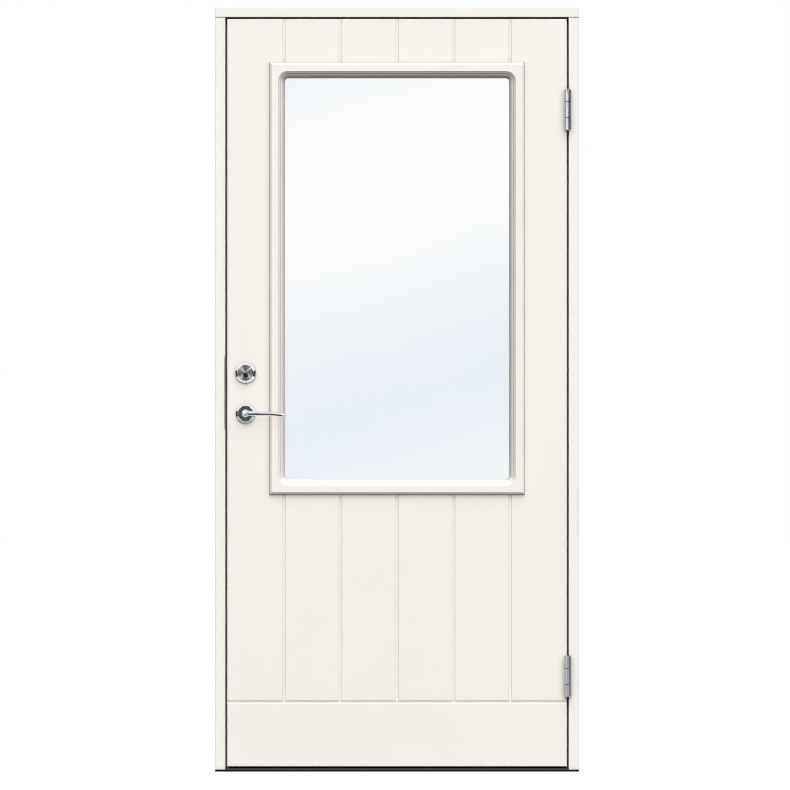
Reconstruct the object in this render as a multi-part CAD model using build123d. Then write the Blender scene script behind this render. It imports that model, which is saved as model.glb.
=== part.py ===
from build123d import *
import math
import os

os.makedirs("parts", exist_ok=True)

# A painted, glazed exterior door in its frame, opening outwards. All sizes are in millimetres.
# X runs to the right seen from outside, Y runs into the building and Z runs up from under the sill.

# Door frame
FRAME_WIDTH = 990.0
FRAME_HEIGHT = 2080.0
FRAME_DEPTH = 105.0
JAMB_FACE = 27.8
HEAD_FACE = 26.8
FRAME_EDGE = 1.2
JOINT_GAP = 1.6
JOINT_DEPTH = 6.0
STOP_OVERLAP = 15.0
STOP_SPACE = 8.0

# Sill
SOLE_HEIGHT = 5.0
NOSE_HEIGHT = 4.0
SILL_STOP_HEIGHT = 20.0
SILL_EDGE = 2.0

# Gaps around the leaf
SIDE_GAP = 5.2
HEAD_GAP = 5.5
SILL_GAP = 5.0

# Seal in the rebate
SEAL_WIDTH = 9.0
SEAL_INSET = 1.0
SEAL_CLEAR = 1.0
SEAL_EDGE = 2.5

# Leaf
LEAF_THICKNESS = 60.0
SKIN = 9.0
STILE_WIDTH = 90.0
TOP_RAIL_HEIGHT = 90.0
BOTTOM_RAIL_HEIGHT = 120.0
LOCK_BEVEL = 3.0
LEAF_EDGE = 1.2

# Grooves in the skins
GROOVE_COUNT = 5
GROOVE_WIDTH = 10.0
GROOVE_FLOOR = 4.2
GROOVE_DEPTH = 2.6
PLINTH_HEIGHT = 175.0

# Glazing
MOULD_FROM_SIDE = 114.1
MOULD_FROM_TOP = 117.0
MOULD_FROM_BOTTOM = 739.3
SIGHT_RADIUS = 9.0
PANE = 4.0
PANE_SPACE = 16.0
PANE_COVER = 12.0
SPACER_WIDTH = 8.0
SPACER_INSET = 3.0

# Moulding of the glazing frame, measured out from the sight line
MOULD_WIDTH = 42.8
MOULD_PROUD = 12.0
MOULD_SHOULDER = 7.6
MOULD_SHOULDER_IN = 2.8
MOULD_CHAMFER = 4.8
STEP_WIDTHS = (2.6, 2.9, 2.5, 2.7, 2.9)
STEP_DROPS = (3.2, 2.2, 5.4, 2.0, 4.2)
WALL_WIDTH = 4.7
ROLL = 3.0
NEAR = 0.05
THROAT_WIDTH = 26.0
APERTURE_PLAY = 1.0

# Hinges
HINGE_HEIGHT = 110.0
HINGE_FROM_END = 246.0
KNUCKLE_RADIUS = 9.0
KNUCKLE_END = 32.5
KNUCKLE_GAP = 1.6
KNUCKLE_EDGE = 0.7
HINGE_STAND_OFF = 10.0
HINGE_PLATE = 3.0
HINGE_PLATE_DEPTH = 40.0
PIN_RADIUS = 4.5
PIN_PLAY = 0.06
PIN_CAP_RADIUS = 6.5
PIN_CAP = 1.5
WASHER_RADIUS = 7.2
WASHER_PLAY = 0.3

# Lock and handle
BACKSET = 50.0
LEVER_HEIGHT = 975.0
LOCK_PITCH = 110.5
ROSE_RADIUS = 27.0
ROSE_FACE_RADIUS = 21.0
ROSE_HEIGHT = 9.0
ROSE_RIM = 3.8
ROSE_EDGE = 1.2
NECK_RADIUS = 10.0
NECK_PLAY = 0.4
NECK_BACK = 2.5
LEVER_STAND_OFF = 48.0
LEVER_LENGTH = 109.5
GRIP_DEPTH = 12.5
GRIP_HEIGHT = 16.0
GRIP_DIP = 5.0
NECK_EDGE = 9.0
SPINDLE = 8.0
SPINDLE_GRIP = 22.0
SPINDLE_HOLE = 12.0
RING_RADIUS = 28.0
RING_FACE_RADIUS = 21.6
RING_HEIGHT = 11.0
RING_RIM = 5.6
CYLINDER_RADIUS = 20.4
CYLINDER_PLAY = 0.4
CYLINDER_PROUD = 10.0
CYLINDER_DEEP = 18.0
PLUG_RADIUS = 6.8
PLUG_PLAY = 0.08
PLUG_DROP = 7.0
PLUG_PROUD = 0.5
PLUG_DEEP = 12.0
KEYWAY_WIDTH = 2.0
KEYWAY_HEIGHT = 8.0
KEYWAY_DEPTH = 10.0

# Lock edge
FACEPLATE_HEIGHT = 235.0
FACEPLATE_WIDTH = 22.0
FACEPLATE = 3.0
BOLT_LENGTH = 24.0
BOLT_PROUD = 1.0
BOLT_PLAY = 0.3
LATCH_WIDTH = 12.0
LATCH_HEIGHT = 24.0
LATCH_RISE = 22.0
DEAD_WIDTH = 14.0
DEAD_HEIGHT = 32.0
DEAD_DROP = 27.0
STRIKE_HEIGHT = 200.0
STRIKE_WIDTH = 44.0
STRIKE_PLATE = 3.0
STRIKE_SET_BACK = 5.0
STRIKE_PLAY = 3.0
STRIKE_POCKET = 15.0

# Frame screws, two near the ends of each jamb and two nearer the middle
FIXING_RADIUS = 5.0
FIXING_SET_BACK = 52.5
FIXING_FROM_END = 140.0
FIXING_INNER_PITCH = 600.0

# Places that follow from the sizes
FRONT = -FRAME_DEPTH / 2
BACK = FRAME_DEPTH / 2
FRAME_X = FRAME_WIDTH / 2
REBATE_X = FRAME_X - JAMB_FACE
LEAF_X = REBATE_X - SIDE_GAP
STOP_X = LEAF_X - STOP_OVERLAP
HEAD_Z = FRAME_HEIGHT - HEAD_FACE
LEAF_TOP = HEAD_Z - HEAD_GAP
NOSE_Z = SOLE_HEIGHT + NOSE_HEIGHT
LEAF_BOTTOM = NOSE_Z + SILL_GAP
SILL_STOP_Z = SOLE_HEIGHT + SILL_STOP_HEIGHT
LEAF_BACK = FRONT + LEAF_THICKNESS
LEAF_MIDDLE = FRONT + LEAF_THICKNESS / 2
STOP_Y = LEAF_BACK + STOP_SPACE
LOCK_X = -LEAF_X + BACKSET
CYLINDER_HEIGHT = LEVER_HEIGHT + LOCK_PITCH
STRIKE_Z = (LEVER_HEIGHT + CYLINDER_HEIGHT) / 2
LATCH_Z = LEVER_HEIGHT + LATCH_RISE
DEAD_Z = CYLINDER_HEIGHT - DEAD_DROP
PANE_Y = LEAF_MIDDLE - PANE_SPACE / 2 - PANE
HINGE_X = LEAF_X + SIDE_GAP / 2
HINGE_Y = FRONT - HINGE_STAND_OFF
GROOVE_Z = LEAF_BOTTOM + PLINTH_HEIGHT
SIGHT_TOP = LEAF_TOP - MOULD_FROM_TOP - MOULD_WIDTH
SIGHT_BOTTOM = LEAF_BOTTOM + MOULD_FROM_BOTTOM + MOULD_WIDTH
SIGHT_HEIGHT = SIGHT_TOP - SIGHT_BOTTOM
SIGHT_MIDDLE = (SIGHT_TOP + SIGHT_BOTTOM) / 2
SIGHT_WIDTH = 2 * (LEAF_X - MOULD_FROM_SIDE - MOULD_WIDTH)
BEVEL_ANGLE = math.degrees(math.atan2(LOCK_BEVEL, LEAF_THICKNESS))
HINGE_MIDDLES = {
    "upper": LEAF_TOP - HINGE_FROM_END,
    "lower": LEAF_BOTTOM + HINGE_FROM_END,
}


def block(x0, x1, y0, y1, z0, z1):
    """A box given by its limits."""
    middle = Pos((x0 + x1) / 2, (y0 + y1) / 2, (z0 + z1) / 2)
    return middle * Box(abs(x1 - x0), abs(y1 - y0), abs(z1 - z0))


def rod_x(radius, x0, x1, y, z):
    """A round bar along X."""
    return Pos((x0 + x1) / 2, y, z) * Rot(0, 90, 0) * Cylinder(radius, abs(x1 - x0))


def rod_y(radius, y0, y1, x, z):
    """A round bar along Y."""
    return Pos(x, (y0 + y1) / 2, z) * Rot(90, 0, 0) * Cylinder(radius, abs(y1 - y0))


def rod_z(radius, z0, z1, x, y):
    """An upright round bar."""
    return Pos(x, y, (z0 + z1) / 2) * Cylinder(radius, abs(z1 - z0))


def to_inside(shape):
    """Mirrors a piece on the leaf's outer side to its inner side."""
    return mirror(shape, about=Plane.XZ.offset(-LEAF_MIDDLE))


def front_edges(shape):
    """The edges around the outermost flat face."""
    return shape.faces().sort_by(Axis.Y)[0].edges()


def at_lock_edge(shape):
    """Sets a piece drawn on the plane X = 0 into the bevelled lock edge, with +X into the leaf."""
    return Pos(-LEAF_X + LOCK_BEVEL / 2, LEAF_MIDDLE, 0) * Rot(0, 0, -BEVEL_ANGLE) * shape


def bolt_block(width, height, z, play, x0, x1):
    """A lock bolt, or the hole for one when it has play."""
    half_width = width / 2 + play
    half_height = height / 2 + play
    return block(x0, x1, -half_width, half_width, z - half_height, z + half_height)


def hinge_plate_slot(x0, x1):
    """The two shallow housings that one side's hinge plates lie in."""
    slots = []
    for middle in HINGE_MIDDLES.values():
        z0 = middle - HINGE_HEIGHT / 2
        slots.append(block(x0, x1, FRONT, FRONT + HINGE_PLATE_DEPTH, z0, z0 + HINGE_HEIGHT))
    return slots


def plain_jamb(side):
    """One rebated jamb with its screw holes, on the +X or the -X side."""
    body = block(side * STOP_X, side * FRAME_X, FRONT, BACK, SOLE_HEIGHT, HEAD_Z)
    body -= block(side * STOP_X, side * REBATE_X, FRONT, STOP_Y, SOLE_HEIGHT, HEAD_Z)
    body -= block(side * REBATE_X, side * FRAME_X, FRONT, FRONT + JOINT_DEPTH, HEAD_Z - JOINT_GAP, HEAD_Z)
    body = chamfer(front_edges(body), FRAME_EDGE)
    for spread in (FRAME_HEIGHT - 2 * FIXING_FROM_END, FIXING_INNER_PITCH):
        for end in (-1, 1):
            z = FRAME_HEIGHT / 2 + end * spread / 2
            body -= rod_x(FIXING_RADIUS, side * REBATE_X, side * FRAME_X, FRONT + FIXING_SET_BACK, z)
    return body


def hinge_jamb():
    body = plain_jamb(1)
    for slot in hinge_plate_slot(REBATE_X, REBATE_X + HINGE_PLATE):
        body -= slot
    return body


def strike_outline():
    y0 = FRONT + STRIKE_SET_BACK
    z0 = STRIKE_Z - STRIKE_HEIGHT / 2
    return block(-REBATE_X, -REBATE_X - STRIKE_PLATE, y0, y0 + STRIKE_WIDTH, z0, z0 + STRIKE_HEIGHT)


def strike_holes(depth):
    """The latch hole and the dead bolt hole, from the rebate's face into the jamb."""
    holes = []
    sizes = ((LATCH_WIDTH, LATCH_HEIGHT, LATCH_Z), (DEAD_WIDTH, DEAD_HEIGHT, DEAD_Z))
    for width, height, z in sizes:
        hole = bolt_block(width, height, z, STRIKE_PLAY, -REBATE_X, -REBATE_X - depth)
        holes.append(Pos(0, LEAF_MIDDLE, 0) * hole)
    return holes


def lock_jamb():
    body = plain_jamb(-1)
    z0 = STRIKE_Z - STRIKE_HEIGHT / 2
    y1 = FRONT + STRIKE_SET_BACK + STRIKE_WIDTH
    body -= block(-REBATE_X, -REBATE_X - STRIKE_PLATE, FRONT, y1, z0, z0 + STRIKE_HEIGHT)
    for hole in strike_holes(STRIKE_PLATE + STRIKE_POCKET):
        body -= hole
    return body


def strike_plate():
    body = strike_outline()
    for hole in strike_holes(STRIKE_PLATE):
        body -= hole
    return body


def frame_head():
    body = block(-FRAME_X, FRAME_X, FRONT, BACK, HEAD_Z, FRAME_HEIGHT)
    body = chamfer(front_edges(body), FRAME_EDGE)
    return body + block(-STOP_X, STOP_X, STOP_Y, BACK, LEAF_TOP - STOP_OVERLAP, HEAD_Z)


def sill_sole():
    return block(-FRAME_X, FRAME_X, FRONT, BACK, 0, SOLE_HEIGHT)


def threshold():
    stop = block(-STOP_X, STOP_X, STOP_Y, BACK, SOLE_HEIGHT, SILL_STOP_Z)
    stop = chamfer(stop.faces().sort_by(Axis.Z)[-1].edges().filter_by(Axis.X), SILL_EDGE)
    return stop + block(-REBATE_X, REBATE_X, FRONT, STOP_Y, SOLE_HEIGHT, NOSE_Z)


def frame_seal():
    """A soft strip all round on the stops, just short of the leaf."""
    x0 = STOP_X + SEAL_INSET
    z0 = SILL_STOP_Z - SEAL_INSET
    z1 = LEAF_TOP - STOP_OVERLAP + SEAL_INSET
    y0 = LEAF_BACK + SEAL_CLEAR
    w = SEAL_WIDTH
    body = block(-x0 - w, x0 + w, y0, STOP_Y, z0 - w, z1 + w)
    body -= block(-x0, x0, y0, STOP_Y, z0, z1)
    return chamfer(front_edges(body), SEAL_EDGE)


def knuckle_levels(middle):
    """The heights at which the three knuckles of a hinge begin and end."""
    z0 = middle - HINGE_HEIGHT / 2
    z3 = middle + HINGE_HEIGHT / 2
    z1 = z0 + KNUCKLE_END
    z2 = z3 - KNUCKLE_END
    return [(z0, z1), (z1 + KNUCKLE_GAP, z2 - KNUCKLE_GAP), (z2, z3)]


def knuckle(z0, z1):
    body = rod_z(KNUCKLE_RADIUS, z0, z1, HINGE_X, HINGE_Y)
    return chamfer(body.edges().filter_by(GeomType.CIRCLE), KNUCKLE_EDGE)


def hinge_half(middle, x0, x1, picked):
    """A flat plate with the picked knuckles rolled onto its front edge."""
    z0 = middle - HINGE_HEIGHT / 2
    body = block(x0, x1, FRONT, FRONT + HINGE_PLATE_DEPTH, z0, z0 + HINGE_HEIGHT)
    levels = knuckle_levels(middle)
    for k in picked:
        z0_neck = levels[k][0] + KNUCKLE_EDGE
        z1_neck = levels[k][1] - KNUCKLE_EDGE
        body += block(x0, x1, HINGE_Y, FRONT, z0_neck, z1_neck)
        body += knuckle(*levels[k])
    return body - rod_z(PIN_RADIUS + PIN_PLAY, z0, z0 + HINGE_HEIGHT, HINGE_X, HINGE_Y)


def hinge_jamb_half(middle):
    return hinge_half(middle, REBATE_X, REBATE_X + HINGE_PLATE, (0, 2))


def hinge_leaf_half(middle):
    return hinge_half(middle, LEAF_X - HINGE_PLATE, LEAF_X, (1,))


def hinge_pin(middle):
    z0 = middle - HINGE_HEIGHT / 2
    z1 = middle + HINGE_HEIGHT / 2
    body = rod_z(PIN_RADIUS, z0, z1, HINGE_X, HINGE_Y)
    body += rod_z(PIN_CAP_RADIUS, z0 - PIN_CAP, z0, HINGE_X, HINGE_Y)
    return body + rod_z(PIN_CAP_RADIUS, z1, z1 + PIN_CAP, HINGE_X, HINGE_Y)


def hinge_washers(middle):
    """Two thin rings, lying against the jamb's knuckles."""
    low, _, high = knuckle_levels(middle)
    thick = KNUCKLE_GAP - WASHER_PLAY
    rings = []
    for z0 in (low[1], high[0] - thick):
        ring = rod_z(WASHER_RADIUS, z0, z0 + thick, HINGE_X, HINGE_Y)
        rings.append(ring - rod_z(PIN_RADIUS + PIN_PLAY, z0, z0 + thick, HINGE_X, HINGE_Y))
    return Compound(children=rings)


def lock_bevel():
    """The wedge planed off the lock edge so that the leaf's back corner clears the jamb."""
    over = 2 * SIDE_GAP
    outline = Polyline(
        (-LEAF_X, FRONT),
        (-LEAF_X - over, FRONT),
        (-LEAF_X - over, LEAF_BACK),
        (-LEAF_X + LOCK_BEVEL, LEAF_BACK),
        close=True,
    )
    wedge = extrude(make_face(outline), LEAF_TOP - LEAF_BOTTOM)
    return Pos(0, 0, LEAF_BOTTOM) * wedge


def groove_outline():
    """The groove's cross-section, as points across the groove and into the skin."""
    w = GROOVE_WIDTH / 2
    f = GROOVE_FLOOR / 2
    return [(-w, -1), (w, -1), (w, 0), (f, GROOVE_DEPTH), (-f, GROOVE_DEPTH), (-w, 0)]


def upright_groove(x):
    points = [(x + across, FRONT + deep) for across, deep in groove_outline()]
    run = extrude(make_face(Polyline(*points, close=True)), LEAF_TOP - GROOVE_Z)
    return Pos(0, 0, GROOVE_Z) * run


def level_groove():
    points = [(FRONT + deep, GROOVE_Z + across) for across, deep in groove_outline()]
    run = extrude(Plane.YZ * make_face(Polyline(*points, close=True)), 2 * LEAF_X)
    return Pos(-LEAF_X, 0, 0) * run


def opening_block(offset, y0, y1):
    """A square-cornered block, this far out from the sight line all round."""
    half_width = SIGHT_WIDTH / 2 + offset
    half_height = SIGHT_HEIGHT / 2 + offset
    z = SIGHT_MIDDLE
    return block(-half_width, half_width, y0, y1, z - half_height, z + half_height)


def lock_holes():
    """The through holes for the spindle and for the cylinders."""
    spindle = rod_y(SPINDLE_HOLE, FRONT, LEAF_BACK, LOCK_X, LEVER_HEIGHT)
    cylinder = rod_y(CYLINDER_RADIUS + CYLINDER_PLAY, FRONT, LEAF_BACK, LOCK_X, CYLINDER_HEIGHT)
    return [spindle, cylinder]


def plain_skin():
    """The grooved sheet of the outer side, before the lock edge is planed."""
    body = block(-LEAF_X, LEAF_X, FRONT, FRONT + SKIN, LEAF_BOTTOM, LEAF_TOP)
    body = chamfer(front_edges(body), LEAF_EDGE)
    pitch = 2 * LEAF_X / (GROOVE_COUNT + 1)
    for i in range(GROOVE_COUNT):
        body -= upright_groove((i + 1) * pitch - LEAF_X)
    body -= level_groove()
    body -= opening_block(THROAT_WIDTH + APERTURE_PLAY, FRONT, FRONT + SKIN)
    for hole in lock_holes():
        body -= hole
    return body


def outer_skin():
    body = plain_skin() - lock_bevel()
    for slot in hinge_plate_slot(LEAF_X - HINGE_PLATE, LEAF_X):
        body -= slot
    return body


def inner_skin():
    return to_inside(plain_skin()) - lock_bevel()


def core_piece(x0, x1, z0, z1):
    """A piece of the timber frame between the skins."""
    return block(x0, x1, FRONT + SKIN, LEAF_BACK - SKIN, z0, z1)


def hinge_stile():
    body = core_piece(LEAF_X - STILE_WIDTH, LEAF_X, LEAF_BOTTOM, LEAF_TOP)
    for slot in hinge_plate_slot(LEAF_X - HINGE_PLATE, LEAF_X):
        body -= slot
    return body


def faceplate_outline():
    z0 = STRIKE_Z - FACEPLATE_HEIGHT / 2
    half = FACEPLATE_WIDTH / 2
    return at_lock_edge(block(0, FACEPLATE, -half, half, z0, z0 + FACEPLATE_HEIGHT))


def bolt_holes():
    """The ways for the two bolts, through the faceplate and into the stile."""
    latch = bolt_block(LATCH_WIDTH, LATCH_HEIGHT, LATCH_Z, BOLT_PLAY, 0, BOLT_LENGTH + BOLT_PLAY)
    dead = bolt_block(DEAD_WIDTH, DEAD_HEIGHT, DEAD_Z, BOLT_PLAY, 0, BOLT_LENGTH + BOLT_PLAY)
    return [at_lock_edge(latch), at_lock_edge(dead)]


def lock_stile():
    body = core_piece(-LEAF_X, -LEAF_X + STILE_WIDTH, LEAF_BOTTOM, LEAF_TOP)
    body -= lock_bevel()
    body -= faceplate_outline()
    for hole in bolt_holes() + lock_holes():
        body -= hole
    return body


def lock_faceplate():
    body = faceplate_outline()
    for hole in bolt_holes():
        body -= hole
    return body


def latch_bolt():
    return at_lock_edge(bolt_block(LATCH_WIDTH, LATCH_HEIGHT, LATCH_Z, 0, -BOLT_PROUD, BOLT_LENGTH))


def dead_bolt():
    return at_lock_edge(bolt_block(DEAD_WIDTH, DEAD_HEIGHT, DEAD_Z, 0, -BOLT_PROUD, BOLT_LENGTH))


def top_rail():
    half = LEAF_X - STILE_WIDTH
    return core_piece(-half, half, LEAF_TOP - TOP_RAIL_HEIGHT, LEAF_TOP)


def bottom_rail():
    half = LEAF_X - STILE_WIDTH
    return core_piece(-half, half, LEAF_BOTTOM, LEAF_BOTTOM + BOTTOM_RAIL_HEIGHT)


def facing_plane(proud):
    """A drawing plane parallel to the leaf, this far out from its face."""
    origin = (0, FRONT - proud, SIGHT_MIDDLE)
    return Plane(origin=origin, x_dir=(1, 0, 0), z_dir=(0, -1, 0))


def square_outline(offset, proud):
    outline = Rectangle(SIGHT_WIDTH + 2 * offset, SIGHT_HEIGHT + 2 * offset)
    return facing_plane(proud) * outline


def round_outline(offset, proud):
    width = SIGHT_WIDTH + 2 * offset
    height = SIGHT_HEIGHT + 2 * offset
    return facing_plane(proud) * RectangleRounded(width, height, SIGHT_RADIUS + offset)


def between(offset_out, proud_out, offset_in, proud_in):
    """The space inside the moulding between two rounded outlines."""
    return loft([round_outline(offset_out, proud_out), round_outline(offset_in, proud_in)], ruled=True)


def moulding_steps():
    """How far out and how proud each line of the moulding's inner side lies, from flat to glass."""
    offset = sum(STEP_WIDTHS) + WALL_WIDTH
    proud = MOULD_PROUD
    points = [(offset, proud)]
    for width, drop in zip(STEP_WIDTHS, STEP_DROPS):
        offset -= width
        proud -= drop
        points.append((offset, proud))
    return points + [(0, FRONT - PANE_Y)]


def outer_glazing_frame():
    """The moulded frame that lies on the skin and reaches in to the pane."""
    shoulder = MOULD_WIDTH - MOULD_SHOULDER_IN
    flat = shoulder - MOULD_CHAMFER
    low = [square_outline(MOULD_WIDTH, 0), square_outline(shoulder, MOULD_SHOULDER)]
    high = [square_outline(shoulder, MOULD_SHOULDER), square_outline(flat, MOULD_PROUD)]
    body = loft(low, ruled=True) + loft(high, ruled=True)
    body += opening_block(THROAT_WIDTH, FRONT, PANE_Y)
    points = moulding_steps()
    for (offset_out, proud_out), (offset_in, proud_in) in zip(points, points[1:]):
        body -= between(offset_out, proud_out, offset_in, proud_in)
    for _, proud in points[2:5:2]:
        level = FRONT - proud
        rim = body.edges().filter_by_position(Axis.Y, level - NEAR, level + NEAR)
        body = fillet(rim, ROLL)
    return body


def outer_pane():
    return opening_block(PANE_COVER, PANE_Y, PANE_Y + PANE)


def pane_spacer():
    outer = PANE_COVER - SPACER_INSET
    y0 = PANE_Y + PANE
    body = opening_block(outer, y0, y0 + PANE_SPACE)
    return body - opening_block(outer - SPACER_WIDTH, y0, y0 + PANE_SPACE)


def turned(points, x, z):
    """A turned piece on the leaf's face, from points of radius and height above the face."""
    outline = make_face(Polyline(*points, close=True))
    body = revolve(Plane.XZ * outline, Axis.Z)
    return Pos(x, FRONT, z) * Rot(90, 0, 0) * body


def outer_rims(body):
    """The two outer edges of a turned piece that stand clear of the leaf."""
    rims = body.edges().filter_by(GeomType.CIRCLE)
    clear = rims.filter_by_position(Axis.Y, -FRAME_DEPTH, FRONT, inclusive=(True, False))
    return clear.sort_by(SortBy.RADIUS)[-2:]


def outer_handle_rose():
    hole = NECK_RADIUS + NECK_PLAY
    points = [
        (hole, 0),
        (ROSE_RADIUS, 0),
        (ROSE_RADIUS, ROSE_RIM),
        (ROSE_FACE_RADIUS, ROSE_HEIGHT),
        (hole, ROSE_HEIGHT),
    ]
    body = turned(points, LOCK_X, LEVER_HEIGHT)
    return fillet(outer_rims(body), ROSE_EDGE)


def outer_cylinder_ring():
    hole = CYLINDER_RADIUS + CYLINDER_PLAY
    points = [
        (hole, 0),
        (RING_RADIUS, 0),
        (RING_RADIUS, RING_RIM),
        (RING_FACE_RADIUS, RING_HEIGHT),
        (hole, RING_HEIGHT),
    ]
    body = turned(points, LOCK_X, CYLINDER_HEIGHT)
    return fillet(outer_rims(body), ROSE_EDGE)


def plain_cylinder():
    return rod_y(CYLINDER_RADIUS, FRONT - CYLINDER_PROUD, FRONT + CYLINDER_DEEP, LOCK_X, CYLINDER_HEIGHT)


def keyway():
    y0 = FRONT - CYLINDER_PROUD - PLUG_PROUD
    z = CYLINDER_HEIGHT - PLUG_DROP
    w = KEYWAY_WIDTH / 2
    h = KEYWAY_HEIGHT / 2
    return block(LOCK_X - w, LOCK_X + w, y0, y0 + KEYWAY_DEPTH, z - h, z + h)


def outer_cylinder():
    z = CYLINDER_HEIGHT - PLUG_DROP
    y0 = FRONT - CYLINDER_PROUD
    return plain_cylinder() - rod_y(PLUG_RADIUS + PLUG_PLAY, y0, FRONT + PLUG_DEEP, LOCK_X, z)


def inner_cylinder():
    return to_inside(plain_cylinder() - keyway())


def key_plug():
    z = CYLINDER_HEIGHT - PLUG_DROP
    y0 = FRONT - CYLINDER_PROUD - PLUG_PROUD
    return rod_y(PLUG_RADIUS, y0, FRONT + PLUG_DEEP - PLUG_PLAY, LOCK_X, z) - keyway()


def grip_section(along, dip, depth, height):
    """One oval across the lever's grip, given as shares of the grip's length, dip, depth and height."""
    x = LOCK_X + along * LEVER_LENGTH
    z = LEVER_HEIGHT - dip * GRIP_DIP
    place = Plane(origin=(x, FRONT - LEVER_STAND_OFF, z), x_dir=(0, 1, 0), z_dir=(1, 0, 0))
    return place * Ellipse(depth * GRIP_DEPTH / 2, height * GRIP_HEIGHT / 2)


def spindle():
    half = SPINDLE / 2
    y0 = FRONT - SPINDLE_GRIP
    y1 = LEAF_BACK + SPINDLE_GRIP
    return block(LOCK_X - half, LOCK_X + half, y0, y1, LEVER_HEIGHT - half, LEVER_HEIGHT + half)


def outer_lever():
    """A round neck and a slim oval grip that dips a little towards its tip."""
    sections = [
        grip_section(0.00, 0.00, 1.00, 1.00),
        grip_section(0.19, 0.05, 0.98, 0.80),
        grip_section(0.42, 0.10, 0.96, 0.74),
        grip_section(0.70, 0.40, 0.93, 0.70),
        grip_section(0.93, 0.88, 0.86, 0.66),
        grip_section(1.00, 1.06, 0.50, 0.38),
    ]
    neck_end = FRONT - LEVER_STAND_OFF - NECK_RADIUS
    body = rod_y(NECK_RADIUS, neck_end, FRONT - NECK_BACK, LOCK_X, LEVER_HEIGHT)
    body = fillet(body.edges().sort_by(Axis.Y)[0], NECK_EDGE)
    return body + loft(sections) - spindle()


def save(name, shape):
    export_step(shape, f"parts/{name}.step")


save("frame_head", frame_head())
save("hinge_jamb", hinge_jamb())
save("lock_jamb", lock_jamb())
save("sill_sole", sill_sole())
save("threshold", threshold())
save("frame_seal", frame_seal())
save("strike_plate", strike_plate())

for level, height in HINGE_MIDDLES.items():
    save(f"{level}_hinge_jamb_plate", hinge_jamb_half(height))
    save(f"{level}_hinge_pin", hinge_pin(height))
    save(f"{level}_hinge_washers", hinge_washers(height))
    save(f"{level}_hinge_leaf_plate", hinge_leaf_half(height))

save("outer_skin", outer_skin())
save("inner_skin", inner_skin())
save("hinge_stile", hinge_stile())
save("lock_stile", lock_stile())
save("top_rail", top_rail())
save("bottom_rail", bottom_rail())

save("outer_glazing_frame", outer_glazing_frame())
save("inner_glazing_frame", to_inside(outer_glazing_frame()))
save("outer_pane", outer_pane())
save("inner_pane", to_inside(outer_pane()))
save("pane_spacer", pane_spacer())

save("lock_faceplate", lock_faceplate())
save("latch_bolt", latch_bolt())
save("dead_bolt", dead_bolt())
save("outer_handle_rose", outer_handle_rose())
save("inner_handle_rose", to_inside(outer_handle_rose()))
save("outer_cylinder_ring", outer_cylinder_ring())
save("inner_cylinder_ring", to_inside(outer_cylinder_ring()))
save("outer_cylinder", outer_cylinder())
save("inner_cylinder", inner_cylinder())
save("key_plug", key_plug())

save("outer_lever", outer_lever())
save("inner_lever", to_inside(outer_lever()))
save("handle_spindle", spindle())
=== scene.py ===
# %% [markdown]
# # A glazed exterior door, dressed in Blender
# The solid model of the door is already made and packed: a painted frame, a leaf that swings in
# it, a lever that turns and a key plug. This lesson loads that model as a fixed frame, gives each
# surface its finish from shader nodes, adds the small fittings that solids leave out, and then
# sets up a plain studio with a camera far away, so that the door is seen square on.

# %% Load the imported door
import math

import bmesh
import bpy
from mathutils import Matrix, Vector


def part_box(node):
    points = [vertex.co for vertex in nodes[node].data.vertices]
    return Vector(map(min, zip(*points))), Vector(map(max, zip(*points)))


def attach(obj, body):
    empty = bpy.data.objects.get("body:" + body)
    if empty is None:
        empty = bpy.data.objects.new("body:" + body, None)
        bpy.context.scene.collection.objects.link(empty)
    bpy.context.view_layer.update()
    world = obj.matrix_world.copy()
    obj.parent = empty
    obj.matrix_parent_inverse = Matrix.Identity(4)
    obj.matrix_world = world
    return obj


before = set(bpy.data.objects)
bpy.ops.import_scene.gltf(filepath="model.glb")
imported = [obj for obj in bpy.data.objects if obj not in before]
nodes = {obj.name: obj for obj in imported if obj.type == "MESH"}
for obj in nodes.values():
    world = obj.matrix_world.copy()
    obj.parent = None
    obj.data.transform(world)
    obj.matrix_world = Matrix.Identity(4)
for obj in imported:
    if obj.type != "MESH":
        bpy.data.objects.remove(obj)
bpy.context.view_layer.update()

MM = 0.001

# %% [markdown]
# ## Helpers for shader nodes
# A finish is a small network of nodes. Each network here starts from the same three things: a
# Principled shader, the object's own coordinates in metres, and noise at the scale of the real
# surface. One helper adds a node and fills its sockets, and linking or setting a socket is then
# the same call. Writing the networks out by hand each time would hide what differs between them.

# %% Node helpers
def add(tree, kind, settings=None, **sockets):
    """Add one shader node. A socket is given a value, or another node's output to link to."""
    made = tree.nodes.new("ShaderNode" + kind)
    for name, value in (settings or {}).items():
        setattr(made, name, value)
    for name, value in sockets.items():
        fill(tree, made.inputs[name.replace("_", " ")], value)
    return made


def fill(tree, socket, value):
    if isinstance(value, bpy.types.NodeSocket):
        tree.links.new(value, socket)
    else:
        socket.default_value = value


def start_finish(name, **sockets):
    """A new material with a Principled shader, whose plain numbers are set on its own sockets."""
    material = bpy.data.materials.new(name)
    material.use_nodes = True
    shader = material.node_tree.nodes["Principled BSDF"]
    for socket, value in sockets.items():
        shader.inputs[socket.replace("_", " ")].default_value = value
    return material, material.node_tree, shader


def speckle(tree, scale, stretch=(1, 1, 1), detail=3.0):
    """Noise in the object's own metres, stretched where the real surface has a direction."""
    place = add(tree, "TexCoord").outputs["Object"]
    stretched = add(tree, "Mapping", Vector=place, Scale=stretch).outputs["Vector"]
    return add(tree, "TexNoise", Vector=stretched, Scale=scale, Detail=detail).outputs["Fac"]


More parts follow.
